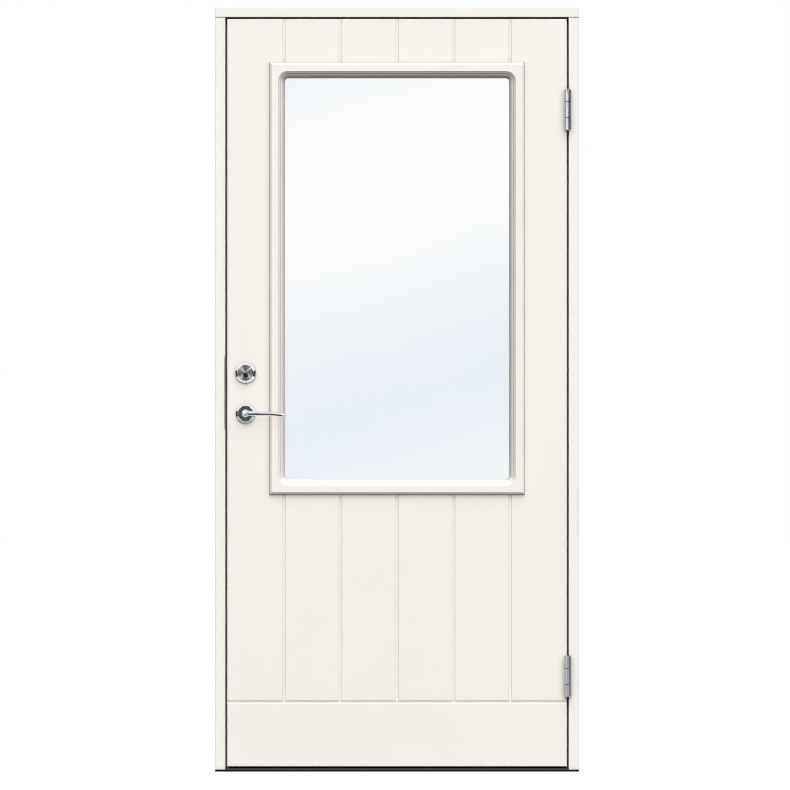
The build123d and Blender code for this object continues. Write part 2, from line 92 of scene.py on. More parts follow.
def spread(tree, amount, low, high):
    """Noise stays near its middle, so its middle part is spread over the range that is asked."""
    sockets = dict(From_Min=0.3, From_Max=0.7, To_Min=low, To_Max=high)
    return add(tree, "MapRange", Value=amount, **sockets).outputs["Result"]


def two_tone(tree, amount, deep, pale):
    ramp = add(tree, "ValToRGB", Fac=amount)
    ramp.color_ramp.elements[0].position = 0.3
    ramp.color_ramp.elements[0].color = (*deep, 1)
    ramp.color_ramp.elements[1].position = 0.7
    ramp.color_ramp.elements[1].color = (*pale, 1)
    return ramp.outputs["Color"]


def relief(tree, shader, height, depth):
    """Bump of a real depth in metres."""
    bump = add(tree, "Bump", Height=height, Distance=depth)
    tree.links.new(bump.outputs["Normal"], shader.inputs["Normal"])


finishes = {}

# %% [markdown]
# ## Satin paint
# Frame, leaf and moulding are all sprayed or rolled in the same warm white, and the coats differ
# a little. Spray leaves a fine orange peel of a few millimetres, too shallow to see as bumps but
# enough to soften a reflection. A painted wall could be one colour, but then highlights would be
# ruler sharp. Here one noise sets both the gloss and the peel, and a much wider noise shifts the
# tone by about one part in a hundred. Shade is painted into corners and grooves: the Ambient
# Occlusion node tells how closed in a spot is within two centimetres, and the tone is lowered
# there as a painted shade.
# The moulding's steep outer wall has painted shade too: its tone is lowered as if it lay in
# shadow. The wall is found by its normal, which points away from the middle of the moulding.

# %% Painted shade in the corners
CORNER_SHADE_REACH, CORNER_SHADE_TONE = 0.022, 0.76
FULL_SHADE_AO, NO_SHADE_AO = 0.45, 0.95


def lowered(tree, tone, share):
    """A tone times a share."""
    made = add(tree, "VectorMath", {"operation": "SCALE"}, Scale=share)
    tree.links.new(tone, made.inputs[0])
    return made.outputs["Vector"]


def corner_shaded(tree, tone):
    """Painted shade: the tone, lowered by up to a quarter where other surfaces stand close."""
    open_sky = add(tree, "AmbientOcclusion", {"samples": 8}, Distance=CORNER_SHADE_REACH).outputs["AO"]
    corner_shade_share = add(tree, "MapRange", Value=open_sky,
                From_Min=FULL_SHADE_AO, From_Max=NO_SHADE_AO, To_Min=CORNER_SHADE_TONE)
    return lowered(tree, tone, corner_shade_share.outputs["Result"])


# %% Painted shade on the moulding's outer wall
WALL_SHADE_TONE = 0.68
WALL_FROM, WALL_FULL = 0.36, 0.46
PIECE_MIDDLE, IN_THE_FACE = (0.5, 0.5, 0.5), (1, 0, 1)


def vectors(tree, operation, first, second):
    """The outputs of a Vector Math node on two values or sockets."""
    made = add(tree, "VectorMath", {"operation": operation})
    fill(tree, made.inputs[0], first)
    fill(tree, made.inputs[1], second)
    return made.outputs


def wall_shaded(tree, tone):
    """Painted shade: the tone, lowered on steep walls facing away from the middle of the piece."""
    spot = add(tree, "TexCoord").outputs
    outward = vectors(tree, "SUBTRACT", spot["Generated"], PIECE_MIDDLE)["Vector"]
    in_face = vectors(tree, "MULTIPLY", outward, IN_THE_FACE)["Vector"]
    facing = vectors(tree, "DOT_PRODUCT", in_face, spot["Normal"])["Value"]
    wall_shade_share = add(tree, "MapRange", Value=facing,
               From_Min=WALL_FROM, From_Max=WALL_FULL, To_Min=1.0, To_Max=WALL_SHADE_TONE)
    return lowered(tree, tone, wall_shade_share.outputs["Result"])


# %% Three coats of paint
TONE_SCALE, PAINT_GLOSS = 2.5, (0.36, 0.48)
WARM_WHITE = (0.88, 0.84, 0.79), (0.895, 0.855, 0.805)


def satin_paint(name, deep, pale, peel_scale, peel_depth, shaded_walls=False):
    material, tree, shader = start_finish(name)
    # Painted shade in corners and grooves lowers the tone.
    tone = corner_shaded(tree, two_tone(tree, speckle(tree, TONE_SCALE), deep, pale))
    # On the moulding, painted shade also darkens the steep outer wall.
    if shaded_walls:
        tone = wall_shaded(tree, tone)
    tree.links.new(tone, shader.inputs["Base Color"])
    peel = speckle(tree, peel_scale)
    tree.links.new(spread(tree, peel, *PAINT_GLOSS), shader.inputs["Roughness"])
    relief(tree, shader, peel, peel_depth)
    return material


finishes["frame_paint"] = satin_paint(
    "rolled_frame_paint", (0.884, 0.85, 0.799), (0.899, 0.865, 0.814), 420, 0.00004)
finishes["leaf_paint"] = satin_paint("sprayed_leaf_paint", *WARM_WHITE, 520, 0.00003)
finishes["moulding_paint"] = satin_paint(
    "sprayed_moulding_paint", *WARM_WHITE, 760, 0.00002, shaded_walls=True)
print("paints:", sorted(finishes))

# %% [markdown]
# ## Painted timber edges
# Between the two skins, the edge of the leaf is solid timber under the same paint. The grain
# telegraphs through as long shallow lines, up the stiles. The noise is the same as for paint but
# squeezed along the length, because grain is long and thin.

# %% Timber edge finish
def painted_timber(name):
    material, tree, shader = start_finish(name)
    grain = speckle(tree, 260, stretch=(1, 1, 0.03), detail=5)
    tone = two_tone(tree, grain, (0.865, 0.825, 0.77), (0.89, 0.85, 0.80))
    tree.links.new(tone, shader.inputs["Base Color"])
    tree.links.new(spread(tree, grain, 0.5, 0.4), shader.inputs["Roughness"])
    relief(tree, shader, grain, 0.00015)
    return material


finishes["core_timber"] = painted_timber("painted_edge_timber")
print("timber edge:", finishes["core_timber"].name)

# %% [markdown]
# ## Plastic and rubber
# The sole under the frame and the hinge washers are black moulded plastic, and the seal is soft
# rubber. All three are nearly black and are told apart by their gloss and the size of their
# texture: a moulded grain, a fine matt bloom, a smooth nylon.

# %% Plastic and rubber finishes
def dark_polymer(name, deep, pale, grain_scale, grain_depth, gloss):
    material, tree, shader = start_finish(name, Specular_IOR_Level=0.05)
    grain = speckle(tree, grain_scale, detail=4)
    tree.links.new(two_tone(tree, grain, deep, pale), shader.inputs["Base Color"])
    tree.links.new(spread(tree, grain, *gloss), shader.inputs["Roughness"])
    relief(tree, shader, grain, grain_depth)
    return material


finishes["sole_plastic"] = dark_polymer(
    "moulded_sole_plastic", (0.004, 0.004, 0.004), (0.009, 0.009, 0.009),
    900, 0.00006, (0.6, 0.75))
finishes["seal_rubber"] = dark_polymer(
    "seal_rubber_bloom", (0.016, 0.016, 0.017), (0.03, 0.03, 0.031),
    1500, 0.00003, (0.6, 0.8))
finishes["washer_plastic"] = dark_polymer(
    "washer_nylon", (0.02, 0.02, 0.022), (0.035, 0.035, 0.038),
    700, 0.00002, (0.3, 0.42))
print("finishes with the polymers:", len(finishes))

# %% [markdown]
# ## Satin metals
# The threshold is a dark anodised extrusion with faint die lines along its length. Hinges are
# zinc plated, the strike and the lock's faceplate are brushed stainless steel, and the spacer
# between the panes is rolled aluminium. Each is a metal whose gloss varies evenly or along one
# direction, so one function takes the stretch of the lines, and only colour, gloss and direction
# differ.

# %% Satin metal finishes
def satin_metal(name, deep, pale, scale, stretch, depth, gloss):
    material, tree, shader = start_finish(name, Metallic=1.0)
    lines = speckle(tree, scale, stretch, detail=4)
    tree.links.new(two_tone(tree, lines, deep, pale), shader.inputs["Base Color"])
    tree.links.new(spread(tree, lines, *gloss), shader.inputs["Roughness"])
    relief(tree, shader, lines, depth)
    return material


ALONG_X, ALONG_Y, ALONG_Z, EVEN = (0.02, 1, 1), (1, 0.03, 1), (1, 1, 0.02), (1, 1, 1)
finishes["threshold_metal"] = satin_metal(
    "anodised_threshold", (0.06, 0.06, 0.06), (0.09, 0.09, 0.09),
    900, ALONG_X, 0.00003, (0.38, 0.5))
finishes["hinge_steel"] = satin_metal(
    "zinc_plated_hinge", (0.56, 0.585, 0.62), (0.6, 0.625, 0.66),
    350, EVEN, 0.000001, (0.29, 0.32))
finishes["strike_steel"] = satin_metal(
    "brushed_lock_steel", (0.55, 0.55, 0.54), (0.68, 0.68, 0.67),
    1400, ALONG_Z, 0.00002, (0.28, 0.42))
finishes["spacer_metal"] = satin_metal(
    "rolled_spacer_metal", (0.62, 0.63, 0.64), (0.7, 0.71, 0.72),
    600, EVEN, 0.00002, (0.35, 0.5))
finishes["spindle_steel"] = satin_metal(
    "drawn_spindle_steel", (0.4, 0.4, 0.41), (0.52, 0.52, 0.53),
    900, ALONG_Y, 0.00002, (0.3, 0.45))
print("finishes with the satin metals:", len(finishes))

# %% [markdown]
# ## Polished handle and turned cylinder
# The lever, roses and rings are chromed: almost a mirror, with a faint haze from handling. The
# cylinder's face is turned on a lathe, so its fine rings throw light out in radial streaks. The
# Tangent node gives the direction of those rings about the cylinder's axis, which is Y, and the
# shader's Anisotropic value stretches the highlight across them. The key plug is brass that has
# gone dark and brown with use. Hands polish a lever's grip and leave its root dull, so the haze
# of the levers clears along their length.

# %% Chrome, dull at the root of a lever
ROOT_END, GRIP_START = 0.12, 0.24


def root_to_grip(tree, root, grip):
    """One value at the root of a lever and another along its grip."""
    place = add(tree, "SeparateXYZ", Vector=add(tree, "TexCoord").outputs["Generated"])
    sockets = dict(From_Min=ROOT_END, From_Max=GRIP_START, To_Min=root, To_Max=grip)
    return add(tree, "MapRange", Value=place.outputs["X"], **sockets).outputs["Result"]


def polished_chrome(name, gloss, dull_root=None):
    material, tree, shader = start_finish(name, Metallic=1.0)
    haze = speckle(tree, 160, detail=5)
    if dull_root:
        gloss = [root_to_grip(tree, *pair) for pair in zip(dull_root, gloss)]
    tone = two_tone(tree, haze, (0.78, 0.79, 0.81), (0.84, 0.85, 0.87))
    tree.links.new(tone, shader.inputs["Base Color"])
    tree.links.new(spread(tree, haze, *gloss), shader.inputs["Roughness"])
    relief(tree, shader, speckle(tree, 2200, (0.1, 1, 1)), 0.000004)
    return material


finishes["handle_chrome"] = polished_chrome("polished_handle_chrome", (0.04, 0.09))
worn_chrome = polished_chrome("worn_lever_chrome", (0.08, 0.13), dull_root=(0.3, 0.36))
print("chromes:", finishes["handle_chrome"].name, worn_chrome.name)


# %% Turned cylinder and brass plug
def turned_steel(name):
    material, tree, shader = start_finish(name, Metallic=1.0, Anisotropic=0.93)
    haze = speckle(tree, 700, detail=4)
    tone = two_tone(tree, haze, (0.4, 0.4, 0.39), (0.5, 0.5, 0.49))
    tree.links.new(tone, shader.inputs["Base Color"])
    tree.links.new(spread(tree, haze, 0.2, 0.28), shader.inputs["Roughness"])
    rings = add(tree, "Tangent", {"direction_type": "RADIAL", "axis": "Y"})
    tree.links.new(rings.outputs["Tangent"], shader.inputs["Tangent"])
    relief(tree, shader, haze, 0.000002)
    return material


finishes["cylinder_steel"] = turned_steel("turned_cylinder_steel")
finishes["plug_brass"] = satin_metal(
    "browned_plug_brass", (0.035, 0.02, 0.01), (0.1, 0.06, 0.028),
    800, EVEN, 0.00003, (0.3, 0.5))
print("lock finishes:", finishes["cylinder_steel"].name, finishes["plug_brass"].name)

# %% [markdown]
# ## Glass
# Two flat panes of clear float glass, faintly blue. Glass needs no alpha: full transmission on
# the Principled shader bends and tints the light that passes, and its own Fresnel adds the
# reflection. Float glass is flat only to a few hundredths of a millimetre over a hand's breadth,
# so a very wide, very shallow bump is enough to keep reflections from being ruler straight.

# %% Glass finish
def float_glass(name):
    material, tree, shader = start_finish(name, Transmission_Weight=1.0, IOR=1.5)
    drift = speckle(tree, 3, detail=1)
    tint = two_tone(tree, drift, (0.955, 0.978, 0.992), (0.962, 0.982, 0.994))
    tree.links.new(tint, shader.inputs["Base Color"])
    tree.links.new(spread(tree, drift, 0.0, 0.004), shader.inputs["Roughness"])
    relief(tree, shader, drift, 0.00002)
    return material


finishes["pane_glass"] = float_glass("float_glass")
print("glass:", finishes["pane_glass"].name)

# %% [markdown]
# ## Hand the finishes out
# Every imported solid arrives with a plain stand-in material that has the name of its slot. The
# mesh and its place stay as they are: only the material in the slot is exchanged. The levers
# share a slot with the roses and rings, and get the worn chrome afterwards.

# %% Exchange the stand-in materials
for solid in nodes.values():
    for holder in solid.material_slots:
        holder.material = finishes[holder.material.name]
for lever in ("outer_lever", "inner_lever"):
    nodes[lever].material_slots[0].material = worn_chrome
print("slots dressed:", sum(len(solid.material_slots) for solid in nodes.values()))

# %% [markdown]
# ## Turned pieces from rings
# Screws and sleeves are turned on a lathe and then get a socket pressed in. A modifier could cut
# the socket out, but booleans leave ragged triangles. Here a piece is a stack of rings with the
# same number of points. A round ring has one radius, and a socket's ring has a radius that rises
# and falls with its lobes, so neighbouring rings always join up in clean quads.

# %% Ring helpers
RING_POINTS, LOBE_RISE, CREASE = 48, 0.13, 35


def ring_radius(radius, lobes, angle):
    """A round ring, a six-lobed one for "six", or a hexagon for "hex"."""
    if lobes == "six":
        return radius * (1 + LOBE_RISE * math.cos(6 * angle))
    if lobes == "hex":
        step = math.pi / 3
        return radius * math.cos(step / 2) / math.cos(angle % step - step / 2)
    return radius


print("points to a ring:", RING_POINTS)


# %% Stack rings into a skin
def stack_rings(mesh, centre, outward, rings, hollow=False):
    """Join (radius, height, lobes) rings into one closed skin around an axis."""
    axis = Vector(outward).normalized()
    side = axis.orthogonal().normalized()
    other = axis.cross(side)
    loops = []
    for radius, height, lobes in rings:
        loop = []
        for step in range(RING_POINTS):
            angle = 2 * math.pi * step / RING_POINTS
            reach = ring_radius(radius, lobes, angle) * MM
            across = side * math.cos(angle) + other * math.sin(angle)
            loop.append(mesh.verts.new(Vector(centre) + across * reach + axis * height * MM))
        loops.append(loop)
    pairs = list(zip(loops, loops[1:]))
    if hollow:
        pairs.append((loops[-1], loops[0]))
    else:
        mesh.faces.new(list(reversed(loops[0])))
        mesh.faces.new(loops[-1])
    for lower, upper in pairs:
        for step in range(RING_POINTS):
            after = (step + 1) % RING_POINTS
            mesh.faces.new((lower[step], lower[after], upper[after], upper[step]))


# %% From mesh to finished piece
def finish_piece(name, mesh, body, slot):
    """Turn a bmesh into an object with soft shading, a finish, a body to ride on and a slot."""
    bmesh.ops.recalc_face_normals(mesh, faces=mesh.faces)
    data = bpy.data.meshes.new(name)
    mesh.to_mesh(data)
    mesh.free()
    for face in data.polygons:
        face.use_smooth = True
    data.set_sharp_from_angle(angle=math.radians(CREASE))
    piece = bpy.data.objects.new(name, data)
    bpy.context.scene.collection.objects.link(piece)
    data.materials.append(finishes[slot])
    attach(piece, body)
    print(name, "faces:", len(data.polygons), "rides:", body)

# %% [markdown]
# ## Countersunk screws
# Hinge plates, the strike and the lock's faceplate are held by flat-headed screws with a
# six-lobed socket. They only show when the door stands open. A head lies a fifth of a millimetre
# proud of its plate, so that its rim catches light, and its shank is left out because the plate
# covers it.

# %% Screw heads
def screw_heads(name, places, outward, radius, body, slot):
    mesh = bmesh.new()
    rings = [
        (radius * 0.5, -1.6, None), (radius, -0.1, None), (radius, 0.06, None),
        (radius * 0.93, 0.2, None), (radius * 0.58, 0.24, None),
        (radius * 0.44, 0.22, "six"), (radius * 0.36, -1.2, "six"),
    ]
    for place in places:
        stack_rings(mesh, place, outward, rings)
    finish_piece(name, mesh, body, slot)


# %% Screws in the hinges
JAMB_PLATE_X, LEAF_PLATE_X, HINGE_HEAD = 467.2 * MM, 462.0 * MM, 4.4
HINGE_SCREWS = [(-23.0, 40.0), (-23.0, -40.0), (-40.0, 16.0), (-40.0, -16.0)]
for level in ("upper", "lower"):
    plate_low, plate_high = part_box(f"{level}_hinge_jamb_plate")
    middle = (plate_low.z + plate_high.z) / 2
    spots = [(y * MM, middle + z * MM) for y, z in HINGE_SCREWS]
    screw_heads(f"{level}_jamb_plate_screws", [(JAMB_PLATE_X, *spot) for spot in spots],
                (-1, 0, 0), HINGE_HEAD, "frame", "hinge_steel")
    screw_heads(f"{level}_leaf_plate_screws", [(LEAF_PLATE_X, *spot) for spot in spots],
                (1, 0, 0), HINGE_HEAD, "leaf", "hinge_steel")

# %% Screws in the strike and the faceplate
STRIKE_X, FACEPLATE_X, LOCK_LINE_Y = -467.2 * MM, -460.5 * MM, -22.5 * MM
STRIKE_SCREWS, STRIKE_HEAD = (0.9463, 1.1142), 4.0
FACEPLATE_SCREWS, FACEPLATE_HEAD = (0.9232, 1.1372), 3.6
EDGE_TILT = math.radians(-2.862)
EDGE_OUT = (-math.cos(EDGE_TILT), -math.sin(EDGE_TILT), 0)
screw_heads("strike_screws", [(STRIKE_X, LOCK_LINE_Y, z) for z in STRIKE_SCREWS],
            (1, 0, 0), STRIKE_HEAD, "frame", "strike_steel")
screw_heads("faceplate_screws", [(FACEPLATE_X, LOCK_LINE_Y, z) for z in FACEPLATE_SCREWS],
            EDGE_OUT, FACEPLATE_HEAD, "leaf", "strike_steel")

# %% [markdown]
# ## Fixing sleeves in the jambs
# The frame is screwed to the wall through eight holes in its jambs. Each hole has a steel sleeve
# with a low flange and a hexagon bore, which is turned with a key to push the jamb in or out. The
# sleeve is a ring of rings: its last ring joins its first, so it stays open in the middle.

# %% Fixing sleeves
SLEEVE_HEIGHTS = (0.14, 0.74, 1.34, 1.94)


def fixing_sleeves(name, side):
    mesh = bmesh.new()
    rings = [
        (7.0, 0.0, None), (7.0, 0.4, None), (6.5, 0.8, None), (4.5, 0.8, None),
        (4.1, 0.4, "hex"), (4.1, -20.0, "hex"), (4.9, -20.0, None), (4.9, 0.0, None),
    ]
    for height in SLEEVE_HEIGHTS:
        stack_rings(mesh, (side * JAMB_PLATE_X, 0, height), (-side, 0, 0), rings, hollow=True)
    finish_piece(name, mesh, "frame", "hinge_steel")


fixing_sleeves("hinge_side_sleeves", 1)
fixing_sleeves("lock_side_sleeves", -1)

# %% [markdown]
# ## Sealing bead round the glass
# Where moulding meets glass, a thin bead of paintable sealant fills the corner. It could be a
# curve with a bevel, but its hollow face is easier to steer as a section of five points carried
# round a rectangle with rounded corners. Each point of the section has an outward offset and a
# height off the glass.

# %% Outline of the sight opening
MOULDING_WIDTH, SIGHT_ROUND = 42.8, 9.0
mould_low, mould_high = (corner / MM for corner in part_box("outer_glazing_frame"))
SIGHT_X = mould_high.x - MOULDING_WIDTH
SIGHT_LOW, SIGHT_HIGH = mould_low.z + MOULDING_WIDTH, mould_high.z - MOULDING_WIDTH
CORNER_STEPS = 8


def sight_loop(offset):
    """Points of the rounded sight opening, grown by offset, in millimetres."""
    radius = SIGHT_ROUND + offset
    x, low, high = SIGHT_X + offset, SIGHT_LOW - offset, SIGHT_HIGH + offset
    centres = [(x, high, 0), (-x, high, 90), (-x, low, 180), (x, low, 270)]
    points = []
    for corner_x, corner_z, start in centres:
        middle_x = corner_x - math.copysign(radius, corner_x)
        middle_z = corner_z + (radius if corner_z == low else -radius)
        for step in range(CORNER_STEPS + 1):
            turn = math.radians(start + 90 * step / CORNER_STEPS)
            points.append((middle_x + radius * math.cos(turn), middle_z + radius * math.sin(turn)))
    return points


print("sight opening:", round(2 * SIGHT_X, 1), "by", round(SIGHT_HIGH - SIGHT_LOW, 1), "mm")

# %% Sealing beads
BEAD = [(-0.3, 0.05), (-0.1, 0.4), (0.3, 1.0), (1.0, 2.2), (0.6, 0.05)]
OUTER_GLASS_Y, INNER_GLASS_Y = -34.5, -10.5


def sealing_bead(name, glass_y, away):
    mesh = bmesh.new()
    loops = []
    for offset, height in BEAD:
        y = (glass_y + away * height) * MM
        loops.append([mesh.verts.new((x * MM, y, z * MM)) for x, z in sight_loop(offset)])
    count = len(loops[0])
    for first, second in zip(loops, loops[1:] + loops[:1]):
        for step in range(count):
            after = (step + 1) % count
            mesh.faces.new((first[step], first[after], second[after], second[step]))
    finish_piece(name, mesh, "leaf", "moulding_paint")


sealing_bead("outer_glass_bead", OUTER_GLASS_Y, -1)
sealing_bead("inner_glass_bead", INNER_GLASS_Y, 1)

# %% [markdown]
# ## Ribs on the threshold
# The inner tread of the threshold has low ribs against slipping. They are part of the extrusion,
# so each is one long bar with sloping sides that ends short of the jambs.

# %% Threshold ribs
TREAD_Z, TREAD_X = 25.0, 444.0
RIB_SECTION = [(-1.7, -0.3), (-1.0, 0.7), (1.0, 0.7), (1.7, -0.3)]
RIB_LINES = (22.0, 28.0, 34.0, 40.0, 46.0)
mesh = bmesh.new()
for rib_y in RIB_LINES:
    ends = []
    for rib_x in (-TREAD_X, TREAD_X):
        section = [(rib_x * MM, (rib_y + y) * MM, (TREAD_Z + z) * MM) for y, z in RIB_SECTION]
        ends.append([mesh.verts.new(point) for point in section])
    left, right = ends
    mesh.faces.new(left)
    mesh.faces.new(list(reversed(right)))
    for step in range(len(RIB_SECTION)):
        after = (step + 1) % len(RIB_SECTION)
        mesh.faces.new((left[after], left[step], right[step], right[after]))
finish_piece("threshold_ribs", mesh, "frame", "threshold_metal")

# %% [markdown]
# ## Set screws under the lever necks
# A lever is held on its spindle by a small set screw in the underside of its neck. It is a steel
# plug with a hexagon socket, almost flush with the neck.

# %% Set screws
NECK_X, NECK_BOTTOM = -412.0, 965.0
OUTER_NECK_Y, INNER_NECK_Y = -74.0, 29.0
SET_SCREW = [
    (2.0, -3.0, None), (2.4, -0.3, None), (2.4, 0.02, None), (2.1, 0.15, None),
    (1.45, 0.15, "hex"), (1.35, -1.6, "hex"),
]
for name, neck_y in (("outer_set_screw", OUTER_NECK_Y), ("inner_set_screw", INNER_NECK_Y)):
    mesh = bmesh.new()
    stack_rings(mesh, (NECK_X * MM, neck_y * MM, NECK_BOTTOM * MM), (0, 0, -1), SET_SCREW)
    finish_piece(name, mesh, "lever", "spindle_steel")

# %% [markdown]
# ## Floor
# A pale floor under the sill, large enough for any view. A white floor could be had with more
# light, but that would burn out the paint. Instead the floor adds a little glow of its own, only
# for rays that reach it from the camera, from a reflection or through glass. Its diffuse part is
# still lit and shaded, so the door's shadow stays on it.

# %% Who looks at the studio
def math_node(tree, operation, first, second):
    made = add(tree, "Math", {"operation": operation})
    fill(tree, made.inputs[0], first)
    fill(tree, made.inputs[1], second)
    return made.outputs[0]


def looking(tree):
    """Two switches: 1 for the camera and what it sees through glass, and 1 for a mirror image.
    Both are 0 for stray light, which has already met a matt surface."""
    path = add(tree, "LightPath").outputs
    fresh = math_node(tree, "LESS_THAN", path["Diffuse Depth"], 0.5)
    direct = math_node(tree, "MAXIMUM", path["Is Camera Ray"], path["Is Transmission Ray"])
    mirrored = math_node(tree, "MULTIPLY", path["Is Glossy Ray"], fresh)
    return math_node(tree, "MULTIPLY", direct, fresh), mirrored


# %% Studio floor
FLOOR_SIZE, FLOOR_GLOW = 45.0, 0.94
mesh = bmesh.new()
bmesh.ops.create_circle(mesh, cap_ends=True, radius=FLOOR_SIZE, segments=96)
floor_data = bpy.data.meshes.new("studio_floor")
mesh.to_mesh(floor_data)
mesh.free()
floor = bpy.data.objects.new("studio_floor", floor_data)
bpy.context.scene.collection.objects.link(floor)

floor_finish, tree, shader = start_finish(
    "pale_floor", Roughness=0.9, Emission_Color=(1, 1, 1, 1))
grit = two_tone(tree, speckle(tree, 30), (0.058, 0.058, 0.058), (0.066, 0.066, 0.066))
tree.links.new(grit, shader.inputs["Base Color"])
glow = math_node(tree, "MULTIPLY", math_node(tree, "MAXIMUM", *looking(tree)), FLOOR_GLOW)
tree.links.new(glow, shader.inputs["Emission Strength"])
floor_data.materials.append(floor_finish)
print("floor radius:", FLOOR_SIZE)

# %% [markdown]
# ## Studio light
# The light is plain and soft: an even surround, one broad key high in front and a little to the
# right, and a matching one behind so that the inside of the door is not in gloom. A Sun lamp with
# a very wide angle gives the same soft light all the way up a tall door, where an area lamp would
# fade from top to bottom. The surround is white for the camera, for mirror images and through
# glass. Stray light sees it as grey, and dimmer at the sides, so that the moulding has shape.
# The levers cast no shadow: under so broad a lamp it would be no more than a smudge on the paint,
# and the dark underside of the grip already sets it off from the leaf.

# %% Key lamps
def soft_sun(name, towards, strength, angle):
    lamp = bpy.data.lights.new(name, "SUN")
    lamp.energy = strength
    lamp.angle = math.radians(angle)
    holder = bpy.data.objects.new(name, lamp)
    holder.rotation_mode = "QUATERNION"
    holder.rotation_quaternion = Vector(towards).to_track_quat("Z", "Y")
    for ray in ("camera", "glossy", "transmission"):
        setattr(holder, f"visible_{ray}", False)
    bpy.context.scene.collection.objects.link(holder)
    return holder


KEY_FROM, BACK_FROM = (0.1, -0.648, 0.62), (-0.2, 0.65, 0.58)
KEY_LEVEL, BACK_LEVEL, KEY_ANGLE = 1.24, 1.1, 75
soft_sun("front_key", KEY_FROM, KEY_LEVEL * math.pi, KEY_ANGLE)
soft_sun("back_key", BACK_FROM, BACK_LEVEL * math.pi, KEY_ANGLE)
nodes["outer_lever"].visible_shadow = nodes["inner_lever"].visible_shadow = False

# %% Surround
STRAY_LEVEL, STRAY_SIDES = 0.12, 0.04
SIDES_FROM, SIDES_FULL = 0.35, 0.8
world = bpy.data.worlds.new("plain_studio")
bpy.context.scene.world = world
world.use_nodes = True
tree = world.node_tree
tree.nodes.clear()
direction = add(tree, "SeparateXYZ", Vector=add(tree, "TexCoord").outputs["Generated"])
sideways = math_node(tree, "ABSOLUTE", direction.outputs["X"], 0)
level = add(tree, "MapRange", {"interpolation_type": "SMOOTHSTEP"}, Value=sideways,
            From_Min=SIDES_FROM, From_Max=SIDES_FULL, To_Min=STRAY_LEVEL, To_Max=STRAY_SIDES)
stray = add(tree, "Background", Color=(1, 1, 1, 1), Strength=level.outputs["Result"])
white = add(tree, "Background", Color=(1, 1, 1, 1), Strength=1.0)
either = math_node(tree, "MAXIMUM", *looking(tree))
choice = add(tree, "MixShader", Fac=either)
tree.links.new(stray.outputs[0], choice.inputs[1])
tree.links.new(white.outputs[0], choice.inputs[2])
tree.links.new(choice.outputs[0], add(tree, "OutputWorld").inputs["Surface"])
print("surround:", STRAY_LEVEL, "sides:", STRAY_SIDES)

# %% [markdown]
# ## Dark cloths and strips for the metal
# Polished metal in an all-white room has no edges. A studio hangs dark cloth where the metal
# would mirror plain white, and sets a few narrow bright strips where a highlight should run. Here
# a dark wall runs round the set at eye level, dark cloth lies on the floor before the levers and
# far out at both sides, a dim cloth lies at the sill for the underside of the rose, and three
# strips stand in front. Only mirror images see them: they hide from the camera, block no lamp and
# colour no shadow.

# %% Cards that only mirrors see
def studio_card(name, corners, finish):
    """A flat stage card that only shows in reflections."""
    data = bpy.data.meshes.new(name)
    quads = [range(start, start + 4) for start in range(0, len(corners), 4)]
    data.from_pydata(corners, [], quads)
    data.materials.append(finish)
    card = bpy.data.objects.new(name, data)
    bpy.context.scene.collection.objects.link(card)
    for ray in ("camera", "diffuse", "transmission", "volume_scatter", "shadow"):
        setattr(card, f"visible_{ray}", False)
    return card


WEAVE, WEAVE_SCALE = 0.03, 8


def glow_finish(name, level):
    """A card that shows the same level wherever it is mirrored, with a faint weave."""
    material, tree, shader = start_finish(name, Base_Color=(0, 0, 0, 1), Roughness=1.0,
                                          Specular_IOR_Level=0.0, Emission_Strength=1.0)
    low, high = (level * (1 - WEAVE),) * 3, (level * (1 + WEAVE),) * 3
    weave = speckle(tree, WEAVE_SCALE)
    tree.links.new(two_tone(tree, weave, low, high), shader.inputs["Emission Color"])
    return material


dark_cloth = glow_finish("dark_cloth", 0.075)
print("cloth:", dark_cloth.name)

# %% Dark wall
WALL_RADIUS, WALL_FOOT, WALL_TOP, WALL_SIDES = 40.0, -0.5, 11.0, 48
wall = []
for step in range(WALL_SIDES):
    ends = [2 * math.pi * (step + more) / WALL_SIDES for more in (0, 1)]
    left, right = [(WALL_RADIUS * math.sin(turn), WALL_RADIUS * math.cos(turn)) for turn in ends]
    wall += [(*left, WALL_FOOT), (*right, WALL_FOOT), (*right, WALL_TOP), (*left, WALL_TOP)]
studio_card("dark_wall", wall, dark_cloth)
print("wall panels:", WALL_SIDES)

# %% Dark cloth on the floor
CLOTH_LIFT, NEAR_DOOR = 0.01, 0.3
LEVER_LEFT, LEVER_RIGHT = -1, 0.2
FAR_LEFT, FAR_RIGHT = -2.7, 1.9


def floor_cloth(name, outline, finish):
    """A cloth just above the floor, from the x and y of its corners, four to a panel."""
    studio_card(name, [(x, y, CLOTH_LIFT) for x, y in outline], finish)
    print(name, "panels:", len(outline) // 4)


def box_outline(x_low, x_high, y_low, y_high):
    return [(x_low, y_low), (x_high, y_low), (x_high, y_high), (x_low, y_high)]


for name, side in (("dark_floor_front", -1), ("dark_floor_back", 1)):
    outline = box_outline(LEVER_LEFT, LEVER_RIGHT, side * NEAR_DOOR, side * WALL_RADIUS)
    floor_cloth(name, outline, dark_cloth)
for name, near, far in (("dark_floor_left", FAR_LEFT, -WALL_RADIUS),
                        ("dark_floor_right", FAR_RIGHT, WALL_RADIUS)):
    floor_cloth(name, box_outline(near, far, -WALL_RADIUS, WALL_RADIUS), dark_cloth)

# %% Dim cloth at the sill
LOCK_SPOT, SILL_Y = Vector((-0.412, 0, 1.0855)), -0.1
CLOTH_EDGE = [(-2.0, -0.41), (-1.0, -0.28), (0.0, -0.213), (1.0, -0.28), (2.0, -0.41)]
sill_cloth = []
for left, right in zip(CLOTH_EDGE, CLOTH_EDGE[1:]):
    panel = [(left[0], SILL_Y), (right[0], SILL_Y), right, left]
    sill_cloth += [(LOCK_SPOT.x + x, y) for x, y in panel]
floor_cloth("dim_sill_cloth", sill_cloth, glow_finish("dim_cloth", 0.48))

